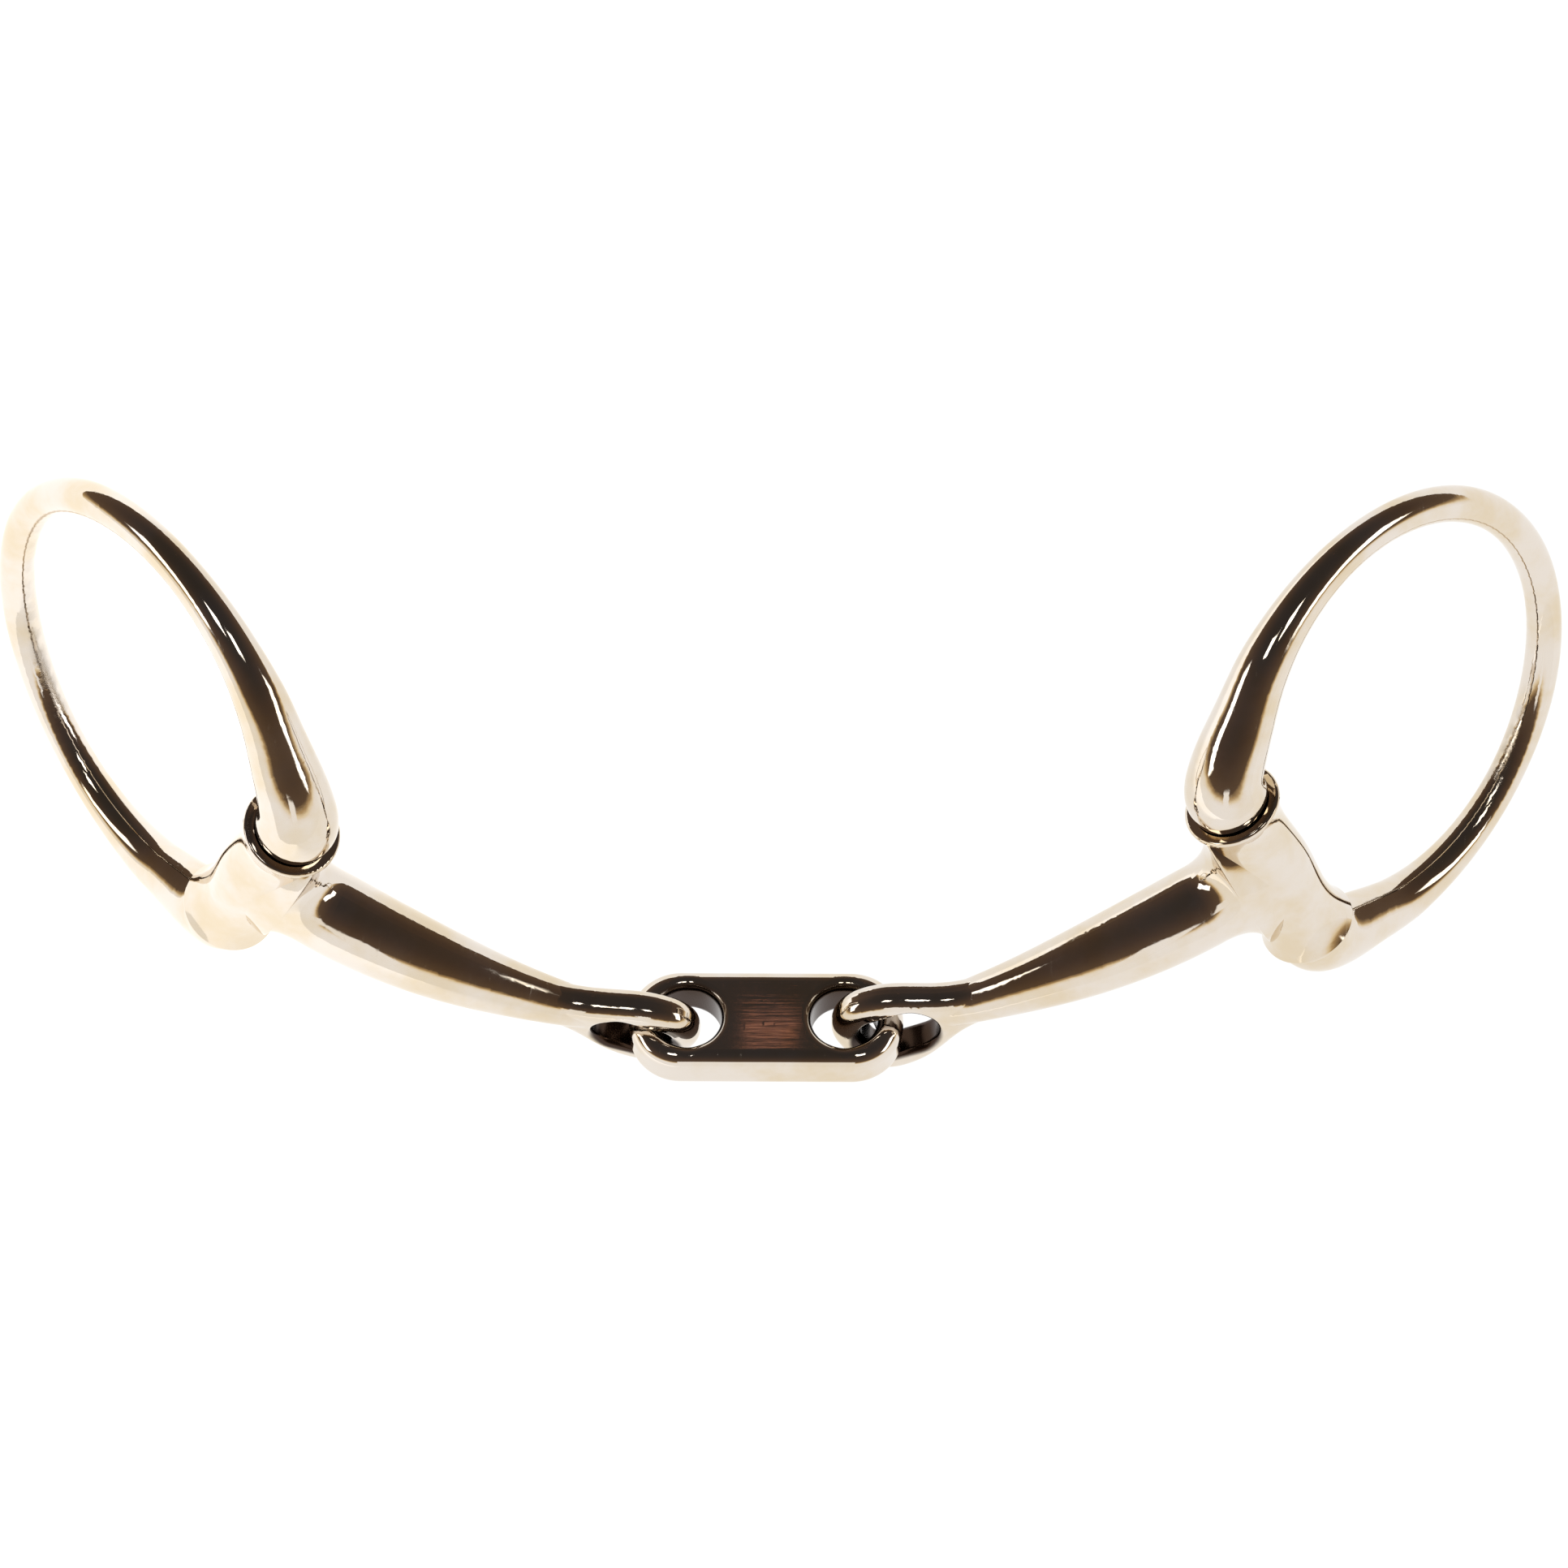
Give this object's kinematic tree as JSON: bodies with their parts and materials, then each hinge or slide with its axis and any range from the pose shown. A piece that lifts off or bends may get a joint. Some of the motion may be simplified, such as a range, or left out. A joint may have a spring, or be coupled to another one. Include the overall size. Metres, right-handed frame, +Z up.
{
  "type": "snaffle bit",
  "caption": "Double-jointed eggbutt snaffle bit in polished gold-toned bronze: curved mouthpiece arms on a flat lozenge link, with swinging cheek rings.",
  "frame": {"origin": "on the surface the bit rests on, under the middle of its box", "axes": "+X along the mouthpiece from the left ring to the right ring, +Y towards the side the arms curve to, +Z up"},
  "size_m": [0.2204, 0.077, 0.0615],
  "materials": {
    "bronze": "mirror polished",
    "pin_steel": "ground"
  },
  "bodies": {
    "link": {"centre_link": "bronze"},
    "left_arm": {"left_arm": "bronze"},
    "right_arm": {"right_arm": "bronze"},
    "left_ring": {"left_ring": "bronze", "left_pin": "pin_steel"},
    "right_ring": {"right_ring": "bronze", "right_pin": "pin_steel"}
  },
  "joints": [
    {"name": "left_arm_fold", "type": "hinge", "parent": "link", "child": "left_arm", "pos_m": [-0.01313, -0.03073, 0.00826], "axis": [0.0057, -0.3649, -0.931], "range_deg": [-47, 42]},
    {"name": "right_arm_fold", "type": "hinge", "parent": "link", "child": "right_arm", "pos_m": [0.00867, -0.03073, 0.0084], "axis": [-0.0057, 0.3649, 0.931], "range_deg": [-48, 41]},
    {"name": "left_ring_swing", "type": "hinge", "parent": "left_arm", "child": "left_ring", "pos_m": [-0.07073, -0.01245, 0.02827], "axis": [-0.4117, -0.176, -0.8942], "range_deg": [-95, 44]},
    {"name": "right_ring_swing", "type": "hinge", "parent": "right_arm", "child": "right_ring", "pos_m": [0.06601, -0.01108, 0.02794], "axis": [-0.4543, 0.389, 0.8014], "range_deg": [-92, 47]}
  ]
}
